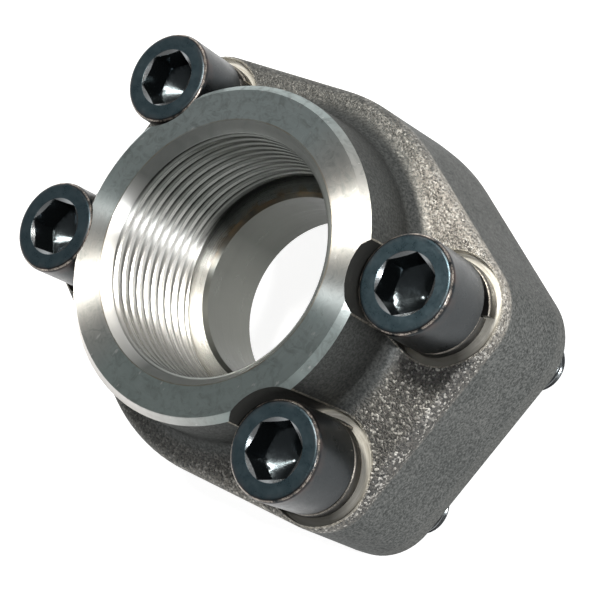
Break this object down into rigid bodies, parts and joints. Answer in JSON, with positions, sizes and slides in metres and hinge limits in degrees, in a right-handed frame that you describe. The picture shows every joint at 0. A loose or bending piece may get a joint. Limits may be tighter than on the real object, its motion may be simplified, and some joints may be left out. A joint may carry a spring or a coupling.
{
  "type": "sae flange fitting",
  "caption": "Square-pattern hydraulic flange fitting with a round neck, a threaded port, socket head cap screws on spring washers and a face seal.",
  "frame": {"origin": "centre of the mating face, on the axis of the bore", "axes": "+Z out of the threaded port, X along the long bolt spacing, Y along the short bolt spacing"},
  "size_m": [0.094, 0.079, 0.0587],
  "materials": {
    "forged_steel": "dark grey shot-blasted forging skin with bright turned ring, port, bore and mating face",
    "black_steel": "black oxide, satin, faintly oiled",
    "washer_steel": "dark phosphated spring steel",
    "seal_rubber": "smooth black nitrile rubber"
  },
  "bodies": {
    "root": {"flange_body": "forged_steel", "cap_screw_a": "black_steel", "cap_screw_b": "black_steel", "cap_screw_c": "black_steel", "cap_screw_d": "black_steel", "lock_washer_a": "washer_steel", "lock_washer_b": "washer_steel", "lock_washer_c": "washer_steel", "lock_washer_d": "washer_steel", "face_seal": "seal_rubber"}
  },
  "joints": []
}
